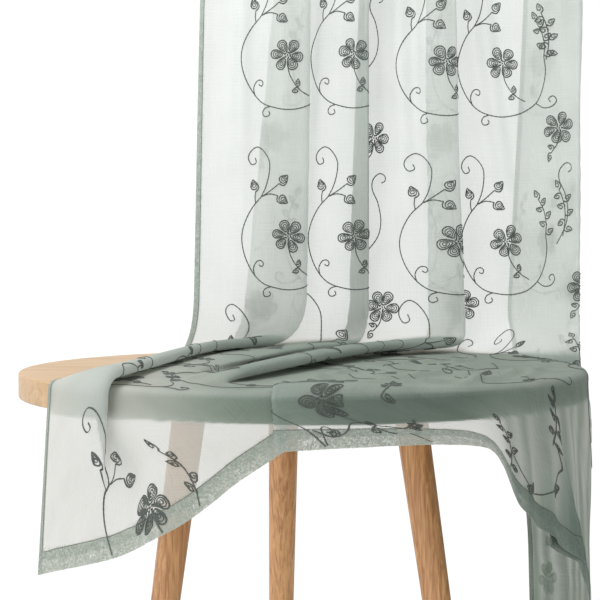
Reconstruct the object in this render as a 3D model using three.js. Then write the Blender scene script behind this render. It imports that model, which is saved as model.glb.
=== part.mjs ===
import * as THREE from 'three';

// A sheer voile panel that hangs by its top edge, lies in folds over a round three-legged table
// and falls over the rim. Millimetres, +Z up. The drape is worked out from the middle of the
// table top, with x to the right and y to the back, and the finished group is then moved so
// that the hanging point on the cloth's top edge is its origin.

// Table
const TABLE_RADIUS = 375;
const TABLE_THICK = 33;
const TABLE_HEIGHT = 760;
const EDGE_ROUND = 6;
const LEG_TOP_RADIUS = 22;
const LEG_FOOT_RADIUS = 13;
const LEG_CIRCLE = 163;
const LEG_SPLAY = 0.153;
const LEG_SHIFT = -10;
const LEG_GAP = 0.3;

// Cloth
const CLOTH_THICK = 1.2;
const HANG_HEIGHT = 623;
const HANG_BACK = 300;
const LOW_HEIGHT = 90;
const REST = 1.0;
const RIM_CLEAR = 3.4;
const RIM_BEND = 7;
const KNEE_REACH = 30;

// The lines that the drape follows, from the left edge to the right edge. Each line is a place
// where the cloth turns or changes direction, and has these columns:
//   top, low    x and how far it stands forward, at the top edge and just over the table
//   back        x, y, z where the cloth lands at the back of the table
//   far, near   x, y, z on the back half and on the front half of the table
//   ring        set on a line that follows the rim, with degrees, radius, z in those three
//   rim         degrees from the front, and lift; or x, y, z for a line that misses the table
//   hem         degrees, stand-off and z at the hem; or x, y, z as above
//   turn        1 where the front layer doubles back behind, -1 where it comes forward again
//   fullness    how full the turn is before and after the line
//   tight       how closed the turn is at top, low, back, far, near, rim and hem
const LINES = [
  { name: 'left edge', top: [-149, 0], low: [-162, 0], back: [-186, 285, 1],
    far: [-212, 170, 1], near: [-275, -110, 1], rim: [-54.8, 0], hem: [-56.5, 10, -237],
    turn: 0, fullness: [0, 0], tight: [0, 0, 0, 0, 0, 0, 0] },
  { name: 'first fold front', top: [13, 34], low: [8, 16], back: [-40, 276, 19],
    far: [-122, 170, 17], near: [-186, -130, 17], rim: [-35, 12], hem: [-38, 12, -204],
    turn: 1, fullness: [62, 18], tight: [1, 1, 1, 1, 1, 1, 0] },
  { name: 'first fold back', top: [-32, -30], low: [-85, -10], back: [-125, 283, 5],
    far: [-170, 172, 4], near: [-226, -122, 5], rim: [-40.5, 3.5], hem: [-33, 8, -193],
    turn: 1, fullness: [14, 14], tight: [1, 1, 1, 1, 1, 1, 0] },
  { name: 'second fold front', top: [99, 30], low: [101, 14], back: [75, 283, 15],
    far: [0, 175, 13], near: [-130, -135, 9], rim: [-29, 0], hem: [-26, 8, -170],
    turn: 1, fullness: [36, 14], tight: [1, 1, 1, 1, 0.2, 0, 0] },
  { name: 'second fold back', top: [87, -26], low: [72, -10], back: [38, 287, 5],
    far: [-30, 178, 4], near: [-120, -130, 4], rim: [-25, 0], hem: [-20, 8, -147],
    turn: 1, fullness: [14, 14], tight: [1, 1, 1, 1, 0.2, 0, 0] },
  { name: 'third fold front', top: [225, 34], low: [243, 16], back: [226, 262, 18],
    far: [115, 185, 17], near: [-28, -130, 15], rim: [-20, 0], hem: [-15, 8, -122],
    turn: 1, fullness: [60, 16], tight: [1, 1, 1, 1, 1, 0, 0] },
  { name: 'third fold back', top: [185, -28], low: [190, -10], back: [165, 272, 5],
    far: [65, 188, 4], near: [-66, -128, 4], rim: [-15, 0], hem: [-11, 8, -100],
    turn: 1, fullness: [14, 14], tight: [1, 1, 1, 1, 1, 0, 0] },
  { name: 'front pleat back', top: [285, -12], low: [285, -2], back: [205, 263, 2],
    far: [170, 165, 1], near: [45, -130, 1], rim: [-2, 0], hem: [-2.5, 5, -62],
    turn: -1, fullness: [10, 10], tight: [0, 0, 0, 0, 0, 1, 1] },
  { name: 'front pleat edge', top: [312, -4], low: [305, 0], back: [235, 254, 2],
    far: [215, 160, 1], near: [75, -132, 1], rim: [-5.3, 6], hem: [-4.8, 11, -64],
    turn: -1, fullness: [10, 24], tight: [0, 0, 0, 0, 0, 1, 1] },
  { name: 'front right', top: [350, 10], low: [335, 12], back: [262, 240, 2],
    far: [275, 150, 1], near: [215, -130, 1], rim: [33, 0], hem: [33, 10, -66],
    turn: 0, fullness: [0, 0], tight: [0, 0, 0, 0, 0, 0, 0] },
  { name: 'right corner', top: [359, 12], low: [344, 21], back: [272, 235, 3],
    far: [303, 143, 1], near: [268, -125, 1], rim: [41, 0], hem: [37.5, 24, -126],
    turn: 0, fullness: [0, 0], tight: [0, 0, 0, 0, 0, 0, 0] },
  { name: 'right rim', top: [368, 14], low: [352, 30], back: [129.3, 363, 3.5],
    far: [110, 357, 2], near: [71, 352, 2], rim: [48, 0], hem: [44.5, 12, -164],
    turn: 0, fullness: [0, 0], tight: [0, 0, 0, 0, 0, 0, 0], ring: true },
  { name: 'right pleat edge', top: [375, 14], low: [358, 40], back: [127.5, 369, 4.5],
    far: [109.7, 369, 3], near: [72, 369, 3], rim: [53, 0], hem: [58, 24, -222],
    turn: 1, fullness: [12, 12], tight: [0, 0, 0, 0, 0, 0, 1], ring: true },
  { name: 'right pleat back', top: [382, 13], low: [365, 50], back: [125.5, 376, 6],
    far: [109.3, 375.4, 0.4], near: [72.3, 375.4, 0.4], rim: [57, 0], hem: [49.5, 6, -192],
    turn: 1, fullness: [12, 12], tight: [0, 0, 0, 0, 0, 0, 1], ring: true, below: 26 },
  { name: 'right drop', top: [390, 12], low: [372, 60], back: [123, 384, 8],
    far: [109, 378.5, -15], near: [72.5, 378.5, -18], rim: [61, 0], hem: [62, 12, -238],
    turn: 0, fullness: [0, 0], tight: [0, 0, 0, 0, 0, 0, 0], ring: true, below: 45 },
  { name: 'right turn', top: [417, 2], low: [402, 100], back: [392, 130, 18],
    far: [388, 90, -90], near: [386, 50, -220], rim: [384, 30, -280], hem: [382, 10, -400],
    turn: 1, fullness: [30, 30], tight: [1, 1, 0.6, 0, 0, 0, 0], free: true },
  { name: 'right edge', top: [338, -44], low: [316, -52], back: [316, 300, 18],
    far: [323, 268, -90], near: [330, 236, -220], rim: [333, 228, -280], hem: [336, 216, -430],
    turn: 0, fullness: [0, 0], tight: [0, 0, 0, 0, 0, 0, 0], free: true },
];

// Columns of the sheet between one line and the next, and rows from one stage to the next:
// top, low, back, far, near, rim, under the rim, hem.
const COLUMNS = [6, 5, 6, 4, 6, 5, 3, 4, 6, 3, 3, 3, 6, 3, 5, 5];
const ROWS = [4, 6, 5, 6, 5, 5, 7];
const CROWDING = 0.45;

const LEGS = [
  { name: 'leg_back', azimuth: 95.4 },
  { name: 'leg_left', azimuth: 215.4 },
  { name: 'leg_right', azimuth: 335.4 },
];

const FORWARD = new THREE.Vector3(0, -1, 0);
const UP = new THREE.Vector3(0, 0, 1);

function ease(t) {
  return t * t * (3 - 2 * t);
}

function vec(list) {
  return new THREE.Vector3(list[0], list[1], list[2]);
}

function onCircle(degrees, radius, z) {
  const a = THREE.MathUtils.degToRad(degrees);
  return new THREE.Vector3(radius * Math.sin(a), -radius * Math.cos(a), z);
}

// Places and directions measured round the table: along the rim, out from the middle, up.
function toRound(p) {
  return new THREE.Vector3(TABLE_RADIUS * Math.atan2(p.x, -p.y), Math.hypot(p.x, p.y), p.z);
}

function fromRound(p) {
  return onCircle(THREE.MathUtils.radToDeg(p.x / TABLE_RADIUS), p.y, p.z);
}

function turnRound(direction, p) {
  const a = Math.atan2(p.x, -p.y);
  const along = direction.x * Math.cos(a) + direction.y * Math.sin(a);
  const out = direction.x * Math.sin(a) - direction.y * Math.cos(a);
  return new THREE.Vector3(along, out, direction.z);
}

// The cubic that leaves p with slope u and reaches q with slope v.
function hermite(p, u, q, v, t) {
  const t2 = t * t;
  const t3 = t2 * t;
  return new THREE.Vector3()
    .addScaledVector(p, 2 * t3 - 3 * t2 + 1)
    .addScaledVector(u, t3 - 2 * t2 + t)
    .addScaledVector(q, 3 * t2 - 2 * t3)
    .addScaledVector(v, t3 - t2);
}

// Where a line stands at each of the eight stages.
function stagePoint(line, stage) {
  if (stage === 0) {
    return new THREE.Vector3(line.top[0], HANG_BACK - line.top[1], HANG_HEIGHT);
  }
  if (stage === 1) {
    return new THREE.Vector3(line.low[0], HANG_BACK - line.low[1], LOW_HEIGHT);
  }
  if (stage < 5) {
    const place = [line.back, line.far, line.near][stage - 2];
    return line.ring ? onCircle(...place) : vec(place);
  }
  if (line.free) {
    if (stage === 5) return vec(line.rim);
    if (stage === 6) return vec(line.rim).lerp(vec(line.hem), 0.12);
    return vec(line.hem);
  }
  const [degrees, lift] = line.rim;
  if (stage === 5) {
    if (line.below) return onCircle(degrees, TABLE_RADIUS + RIM_CLEAR, -0.6 * line.below);
    return onCircle(degrees, TABLE_RADIUS - RIM_BEND, RIM_CLEAR + lift);
  }
  if (stage === 6) {
    return onCircle(degrees, TABLE_RADIUS + RIM_CLEAR + lift, line.below ? -line.below : -RIM_BEND);
  }
  return onCircle(line.hem[0], TABLE_RADIUS + RIM_CLEAR + line.hem[1], line.hem[2]);
}

// A line's point at run b, from 0 at the top edge to 7 at the hem.
function linePoint(line, b) {
  const stage = Math.min(Math.floor(b), 6);
  const t = b - stage;
  const p = stagePoint(line, stage);
  const q = stagePoint(line, stage + 1);
  if (stage === 0 || stage === 6) return p.lerp(q, t);
  if (stage === 1) {
    const lean = p.clone().sub(stagePoint(line, 0)).multiplyScalar(0.1).setZ(0);
    const down = p.clone().add(lean).setZ(p.z - 0.75 * (p.z - q.z));
    const ahead = stagePoint(line, 3).sub(q);
    if (!line.free && !line.below) ahead.setZ(0);
    const land = q.clone().addScaledVector(ahead.normalize(), -KNEE_REACH);
    return new THREE.CubicBezierCurve3(p, down, land, q).getPoint(t);
  }
  if (stage === 5) {
    if (line.free || line.below) return p.lerp(q, t);
    const a = t * Math.PI / 2;
    const bend = RIM_BEND + RIM_CLEAR + line.rim[1];
    const radius = TABLE_RADIUS - RIM_BEND + bend * Math.sin(a);
    return onCircle(line.rim[0], radius, -RIM_BEND + bend * Math.cos(a));
  }
  let before = p.clone().multiplyScalar(2).sub(q);
  let after = q.clone().multiplyScalar(2).sub(p);
  if (stage > 2 || line.free) before = stagePoint(line, stage - 1);
  if (stage < 4) after = stagePoint(line, stage + 2);
  if (stage === 4 && line.free) after = stagePoint(line, 7);
  const shape = line.ring ? toRound : (point) => point;
  const ends = [before, p, q, after].map(shape);
  const u = ends[2].clone().sub(ends[0]).multiplyScalar(0.5);
  const v = ends[3].clone().sub(ends[1]).multiplyScalar(0.5);
  const point = hermite(ends[1], u, ends[2], v, t);
  return line.ring ? fromRound(point) : point;
}

// The way the cloth's front faces along a line.
function facing(line, b) {
  if (line.free || b <= 1) return FORWARD.clone();
  if (b <= 2) return FORWARD.clone().lerp(UP, ease(b - 1)).normalize();
  if (b <= 5) return UP.clone();
  const out = linePoint(line, b).setZ(0).normalize();
  if (b >= 6) return out;
  const a = (b - 5) * Math.PI / 2;
  return out.multiplyScalar(Math.sin(a)).addScaledVector(UP, Math.cos(a));
}

function tightness(line, b) {
  const stage = Math.min(Math.floor(b), 6);
  const list = [...line.tight.slice(0, 6), line.tight[5], line.tight[6]];
  return THREE.MathUtils.lerp(list[stage], list[stage + 1], ease(b - stage));
}

// Lifts a point off the table top: close on its flat, further at its rounded edge.
function clearTable(p) {
  const radius = Math.hypot(p.x, p.y);
  const edge = THREE.MathUtils.smoothstep(radius, TABLE_RADIUS - 70, TABLE_RADIUS - 20);
  const clear = REST + (RIM_CLEAR - REST) * edge;
  const across = radius - (TABLE_RADIUS - EDGE_ROUND);
  const over = Math.abs(p.z + TABLE_THICK / 2) - (TABLE_THICK / 2 - EDGE_ROUND);
  const ax = Math.max(across, 0);
  const ov = Math.max(over, 0);
  const outside = Math.hypot(ax, ov);
  const distance = outside + Math.min(Math.max(across, over), 0) - EDGE_ROUND;
  if (distance >= clear) return p;
  const push = clear - distance;
  let sideways = across > over ? 1 : 0;
  let upwards = 1 - sideways;
  if (outside > 1e-9) {
    sideways = ax / outside;
    upwards = ov / outside;
  }
  const away = 1 + sideways * push / radius;
  const sign = Math.sign(p.z + TABLE_THICK / 2);
  return new THREE.Vector3(p.x * away, p.y * away, p.z + upwards * push * sign);
}

// The slope at each of a run of points, and the lengths between them.
function runOf(points) {
  const spans = points.slice(1).map((p, j) => p.distanceTo(points[j]));
  const slopes = points.map((p, j) => {
    const from = Math.max(j - 1, 0);
    const to = Math.min(j + 1, points.length - 1);
    let run = 0;
    for (let k = from; k < to; k += 1) run += spans[k];
    return points[to].clone().sub(points[from]).divideScalar(Math.max(run, 1));
  });
  return { points, spans, slopes };
}

// One row of the sheet: through every line's point, turning back on itself at the folds. It
// runs straight across the table, and round the rim where the cloth hangs from it.
function sheetRow(b) {
  const straight = runOf(LINES.map((line) => linePoint(line, b)));
  const round = runOf(straight.points.map(toRound));
  const turns = LINES.map((line) => facing(line, b).multiplyScalar(-tightness(line, b) * line.turn));
  const roundTurns = turns.map((turn, j) => turnRound(turn, straight.points[j]));
  const row = [];
  for (let j = 0; j + 1 < LINES.length; j += 1) {
    const pointOf = (run, bends, t) => {
      const [u, v] = [0, 1].map((side) => run.slopes[j + side].clone()
        .multiplyScalar(run.spans[j] * (1 - tightness(LINES[j + side], b)))
        .addScaledVector(bends[j + side], LINES[j + side].fullness[1 - side]));
      return hermite(run.points[j], u, run.points[j + 1], v, t);
    };
    const start = LINES[j].ring || LINES[j].free ? 1 : 4;
    const roundness = ease(THREE.MathUtils.clamp(b - start, 0, 1));
    const count = COLUMNS[j] + (j === LINES.length - 2 ? 1 : 0);
    for (let i = 0; i < count; i += 1) {
      const s = i / COLUMNS[j];
      const t = s - CROWDING * Math.sin(2 * Math.PI * s) / (2 * Math.PI);
      const point = pointOf(straight, turns, t);
      if (roundness > 0) point.lerp(fromRound(pointOf(round, roundTurns, t)), roundness);
      row.push(clearTable(point));
    }
  }
  return row;
}

// The cloth as a closed sheet: its front and back faces and the edge between them.
function sheetGeometry(rows) {
  const height = rows.length;
  const width = rows[0].length;
  const front = [];
  const back = [];
  for (let i = 0; i < height; i += 1) {
    for (let j = 0; j < width; j += 1) {
      const along = rows[Math.min(i + 1, height - 1)][j].clone().sub(rows[Math.max(i - 1, 0)][j]);
      const across = rows[i][Math.min(j + 1, width - 1)].clone().sub(rows[i][Math.max(j - 1, 0)]);
      const normal = along.cross(across).normalize().multiplyScalar(CLOTH_THICK / 2);
      front.push(rows[i][j].clone().add(normal));
      back.push(rows[i][j].clone().sub(normal));
    }
  }
  const behind = front.length;
  const index = [];
  const quad = (a, b, c, d) => index.push(a, b, c, a, c, d);
  for (let i = 0; i + 1 < height; i += 1) {
    for (let j = 0; j + 1 < width; j += 1) {
      const a = i * width + j;
      quad(a, a + width, a + width + 1, a + 1);
      quad(behind + a, behind + a + 1, behind + a + width + 1, behind + a + width);
    }
  }
  const edge = (a, b) => quad(a, b, behind + b, behind + a);
  for (let j = 0; j + 1 < width; j += 1) {
    edge(j, j + 1);
    edge((height - 1) * width + j + 1, (height - 1) * width + j);
  }
  for (let i = 0; i + 1 < height; i += 1) {
    edge((i + 1) * width, i * width);
    edge(i * width + width - 1, (i + 1) * width + width - 1);
  }
  const geometry = new THREE.BufferGeometry().setFromPoints([...front, ...back]);
  geometry.setIndex(index);
  geometry.computeVertexNormals();
  return geometry;
}

// Curtain
const rows = [];
ROWS.forEach((count, stage) => {
  const last = stage === ROWS.length - 1 ? 1 : 0;
  for (let i = 0; i < count + last; i += 1) rows.push(sheetRow(stage + i / count));
});
const voile = new THREE.MeshStandardMaterial({ color: 0xb9c6bd, roughness: 0.9, metalness: 0, transparent: true, opacity: 0.7 });
const curtain = new THREE.Mesh(sheetGeometry(rows), voile);
curtain.name = 'curtain';

// Table top
const oak = new THREE.MeshStandardMaterial({ color: 0xdeb482, roughness: 0.55, metalness: 0 });
const profile = [new THREE.Vector2(0, -TABLE_THICK)];
for (const [cy, start] of [[EDGE_ROUND - TABLE_THICK, -90], [-EDGE_ROUND, 0]]) {
  for (let i = 0; i <= 3; i += 1) {
    const a = THREE.MathUtils.degToRad(start + 30 * i);
    profile.push(new THREE.Vector2(
      TABLE_RADIUS - EDGE_ROUND + EDGE_ROUND * Math.cos(a), cy + EDGE_ROUND * Math.sin(a)));
  }
}
profile.push(new THREE.Vector2(0, 0));
const topGeometry = new THREE.LatheGeometry(profile, 96);
topGeometry.rotateX(Math.PI / 2);
const tableTop = new THREE.Mesh(topGeometry, oak);
tableTop.name = 'table_top';

// Legs: round, tapered, leaning out, cut level at both ends
const legLength = TABLE_HEIGHT - TABLE_THICK - LEG_GAP;
const legs = LEGS.map((leg) => {
  const geometry = new THREE.CylinderGeometry(LEG_TOP_RADIUS, LEG_FOOT_RADIUS, legLength, 28);
  geometry.rotateX(Math.PI / 2);
  geometry.translate(0, 0, -legLength / 2);
  const a = THREE.MathUtils.degToRad(leg.azimuth);
  const lean = new THREE.Matrix4().makeShear(0, 0, 0, 0, -LEG_SPLAY * Math.cos(a), -LEG_SPLAY * Math.sin(a));
  geometry.applyMatrix4(lean);
  const wood = new THREE.MeshStandardMaterial({ color: 0xb98755, roughness: 0.55, metalness: 0 });
  const mesh = new THREE.Mesh(geometry, wood);
  mesh.name = leg.name;
  mesh.position.set(
    LEG_SHIFT + LEG_CIRCLE * Math.cos(a), LEG_CIRCLE * Math.sin(a), -TABLE_THICK - LEG_GAP);
  return mesh;
});

// The whole, with a point near the middle of the cloth's top edge as its origin
const model = new THREE.Group();
const hangingPoint = stagePoint(LINES.find((line) => line.name === 'third fold back'), 0);
model.position.copy(hangingPoint).negate();
model.add(curtain, tableTop, ...legs);

const object = new THREE.Group();
object.add(model);

export default object;
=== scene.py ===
import math
import bpy
import numpy as np
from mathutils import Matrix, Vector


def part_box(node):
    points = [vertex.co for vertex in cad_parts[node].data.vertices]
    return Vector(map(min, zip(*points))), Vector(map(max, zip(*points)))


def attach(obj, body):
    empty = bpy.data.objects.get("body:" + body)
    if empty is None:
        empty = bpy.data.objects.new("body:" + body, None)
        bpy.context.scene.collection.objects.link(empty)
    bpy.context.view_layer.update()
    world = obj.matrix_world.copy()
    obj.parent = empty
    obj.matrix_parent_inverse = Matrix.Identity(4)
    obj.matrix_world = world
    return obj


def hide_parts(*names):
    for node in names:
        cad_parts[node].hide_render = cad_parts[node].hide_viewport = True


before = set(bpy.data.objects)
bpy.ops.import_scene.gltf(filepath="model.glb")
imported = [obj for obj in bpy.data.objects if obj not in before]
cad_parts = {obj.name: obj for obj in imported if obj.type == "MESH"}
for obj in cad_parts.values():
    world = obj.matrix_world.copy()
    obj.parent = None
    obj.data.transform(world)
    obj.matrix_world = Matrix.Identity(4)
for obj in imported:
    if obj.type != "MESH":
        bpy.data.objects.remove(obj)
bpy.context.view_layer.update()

# The table top: one round of light oak boards glued edge to edge, turned, its edges eased
# by a router and sealed with satin oil.
# The cloth lies on it, so it is the first piece down.
top_low, top_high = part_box("table_top")
middle_x = (top_low[0] + top_high[0]) / 2
middle_y = (top_low[1] + top_high[1]) / 2
table_z = top_high[2]
top_radius = (top_high[0] - top_low[0]) / 2
top_thick = top_high[2] - top_low[2]
eased_edge = 0.0032
board_wide = 0.094


class Finish:
    """A socket in a material, so that the finish can be written as sums."""

    def __init__(self, tree, socket=None):
        self.tree = tree
        self.socket = socket

    def node(self, kind, inputs=None, settings=None, output=0):
        made = self.tree.nodes.new(kind)
        for name, value in (settings or {}).items():
            setattr(made, name, value)
        for name, value in (inputs or {}).items():
            if isinstance(value, Finish):
                self.tree.links.new(value.socket, made.inputs[name])
            else:
                made.inputs[name].default_value = value
        return Finish(self.tree, made.outputs[output]) if made.outputs else None

    def maths(self, operation, other=0):
        return self.node("ShaderNodeMath", {0: self, 1: other}, {"operation": operation})

    def __add__(self, other):
        return self.maths("ADD", other)

    __radd__ = __add__

    def __mul__(self, other):
        return self.maths("MULTIPLY", other)

    __rmul__ = __mul__

    def __sub__(self, other):
        return self.maths("SUBTRACT", other)

    def __rsub__(self, other):
        return self.node("ShaderNodeMath", {0: other, 1: self}, {"operation": "SUBTRACT"})

    def between(self, low, high):
        return self.node("ShaderNodeMapRange", {"Value": self, "From Min": low, "From Max": high})

    def blend(self, first, second):
        return self.node("ShaderNodeMix", {0: self, 6: first, 7: second}, {"data_type": "RGBA"}, 2)


def new_finish(name):
    material = bpy.data.materials.new(name)
    material.use_nodes = True
    material.node_tree.nodes.clear()
    return material, Finish(material.node_tree)


def oak(name, light, dark, pore, turn, board, fine):
    """Sealed oak with its grain along Z before the turn, in boards of that width if any."""
    material, finish = new_finish(name)
    place = finish.node("ShaderNodeTexCoord", output="Object")
    grain = finish.node("ShaderNodeMapping", {"Vector": place, "Rotation": turn})
    along = finish.node("ShaderNodeMapping", {"Vector": grain, "Scale": (1, 1, 0.06)})
    cloud = finish.node("ShaderNodeTexNoise", {"Vector": along, "Scale": 9, "Detail": 3})
    figure = finish.node("ShaderNodeTexNoise",
                         {"Vector": along, "Scale": fine, "Detail": 5, "Distortion": 0.9})
    streak = finish.node("ShaderNodeMapping", {"Vector": grain, "Scale": (1, 1, 0.018)})
    pores = finish.node("ShaderNodeTexNoise", {"Vector": streak, "Scale": 520, "Detail": 2})
    pores = pores.between(0.58, 0.74)
    rings = (figure * 0.75 + cloud * 0.4).between(0.40, 0.74)
    tone = rings.blend(light, dark)
    if board:
        across = finish.node("ShaderNodeSeparateXYZ", {"Vector": grain}, output="X")
        strip = (across * (1 / board)).maths("FLOOR")
        shade = finish.node("ShaderNodeTexWhiteNoise", {"W": strip}, {"noise_dimensions": "1D"})
        tone = (shade * 0.35).blend(tone, dark)
    tone = (pores * 0.45).blend(tone, pore)
    rough = 0.42 + rings * 0.12 + pores * 0.2
    bump = finish.node("ShaderNodeBump", {"Height": 1 - pores * 0.8 - rings * 0.2,
                                          "Strength": 0.25, "Distance": 0.0006})
    wood = finish.node("ShaderNodeBsdfPrincipled",
                       {"Base Color": tone, "Roughness": rough, "Normal": bump,
                        "Coat Weight": 0.12, "Coat Roughness": 0.35})
    finish.node("ShaderNodeOutputMaterial", {"Surface": wood})
    return material


bpy.ops.object.select_all(action="DESELECT")
bpy.ops.mesh.primitive_cylinder_add(vertices=240, radius=top_radius, depth=top_thick,
                                    location=(middle_x, middle_y, table_z - top_thick / 2))
table_top = bpy.context.object
table_top.name = "oak_top"
bpy.ops.object.transform_apply(location=True, rotation=True, scale=True)
bpy.ops.object.mode_set(mode="EDIT")
bpy.ops.mesh.select_all(action="DESELECT")
bpy.ops.object.mode_set(mode="OBJECT")
for edge in table_top.data.edges:
    ends = [table_top.data.vertices[i].co.z for i in edge.vertices]
    edge.select = abs(ends[0] - ends[1]) < 1e-6
bpy.ops.object.mode_set(mode="EDIT")
bpy.ops.mesh.select_mode(type="EDGE")
bpy.ops.mesh.bevel(offset=eased_edge, segments=5, profile=0.5)
bpy.ops.mesh.select_all(action="DESELECT")
bpy.ops.object.mode_set(mode="OBJECT")
# Two rings of faces inside each round keep its shading even up to the eased edge.
for face in table_top.data.polygons:
    face.select = len(face.vertices) > 100
bpy.ops.object.mode_set(mode="EDIT")
bpy.ops.mesh.select_mode(type="FACE")
for ring in (0.02, 0.18):
    bpy.ops.mesh.inset(thickness=ring)
bpy.ops.object.mode_set(mode="OBJECT")
bpy.ops.object.shade_smooth_by_angle(angle=math.radians(40))
top_oak = oak("oak_boards", light=(0.61, 0.42, 0.23, 1), dark=(0.45, 0.275, 0.128, 1),
              pore=(0.30, 0.155, 0.062, 1), turn=(0, math.radians(90), 0),
              board=board_wide, fine=90)
table_top.data.materials.append(top_oak)
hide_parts("table_top")
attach(table_top, "root")

# The legs: three round oak legs, turned to a long taper and let into the underside at a
# splay, with a chamfered foot that stands level on the floor.
foot_radius, head_radius, chamfer = 0.013, 0.022, 0.0018
leg_oak = oak("oak_legs", light=(0.78, 0.45, 0.205, 1), dark=(0.36, 0.15, 0.052, 1),
              pore=(0.20, 0.075, 0.026, 1), turn=(0, 0, 0), board=0, fine=240)
for node in ("leg_back", "leg_left", "leg_right"):
    low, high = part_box(node)
    ends = []
    for axis, middle in enumerate((middle_x, middle_y)):
        outward = abs(low[axis] - middle) < abs(high[axis] - middle)
        ends.append((low[axis] + head_radius, high[axis] - foot_radius) if outward
                    else (high[axis] - head_radius, low[axis] + foot_radius))
    (head_x, foot_x), (head_y, foot_y) = ends
    bpy.ops.object.select_all(action="DESELECT")
    bpy.ops.mesh.primitive_cone_add(vertices=56, radius1=foot_radius, radius2=head_radius,
                                    depth=high[2] - low[2],
                                    location=(head_x, head_y, (low[2] + high[2]) / 2))
    leg = bpy.context.object
    leg.name = "oak_" + node
    bpy.ops.object.transform_apply(location=True, rotation=True, scale=True)
    # The foot is slid out to its place, so that both ends stay level.
    bpy.ops.object.mode_set(mode="EDIT")
    bpy.ops.mesh.select_all(action="DESELECT")
    bpy.ops.object.mode_set(mode="OBJECT")
    for vertex in leg.data.vertices:
        vertex.select = vertex.co.z < (low[2] + high[2]) / 2
    bpy.ops.object.mode_set(mode="EDIT")
    bpy.ops.mesh.select_mode(type="VERT")
    bpy.ops.transform.translate(value=(foot_x - head_x, foot_y - head_y, 0))
    bpy.ops.mesh.select_all(action="DESELECT")
    bpy.ops.object.mode_set(mode="OBJECT")
    for edge in leg.data.edges:
        tips = [leg.data.vertices[i].co.z for i in edge.vertices]
        edge.select = abs(tips[0] - tips[1]) < 1e-6
    bpy.ops.object.mode_set(mode="EDIT")
    bpy.ops.mesh.select_mode(type="EDGE")
    bpy.ops.mesh.bevel(offset=chamfer, segments=3, profile=0.5)
    bpy.ops.object.mode_set(mode="OBJECT")
    bpy.ops.object.shade_smooth_by_angle(angle=math.radians(40))
    leg.data.materials.append(leg_oak)
    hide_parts(node)
    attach(leg, "root")

# The curtain: one panel of polyester voile, about 1.2 m by 1.37 m, woven plain and sheer.
# It hangs from its top edge, lies over the table in rolled folds and falls over the rim.
# The panel is in metres, the drape in millimetres from the middle of the table top.
panel_wide, panel_long = 1.20, 1.372
hang_height, hang_back, low_height = 623.0, 300.0, 90.0
rest, rim_clear, rim_bend, knee_reach, edge_round = 1.0, 3.4, 7.0, 30.0, 6.0
radius, thick = 375.0, 33.0

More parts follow.
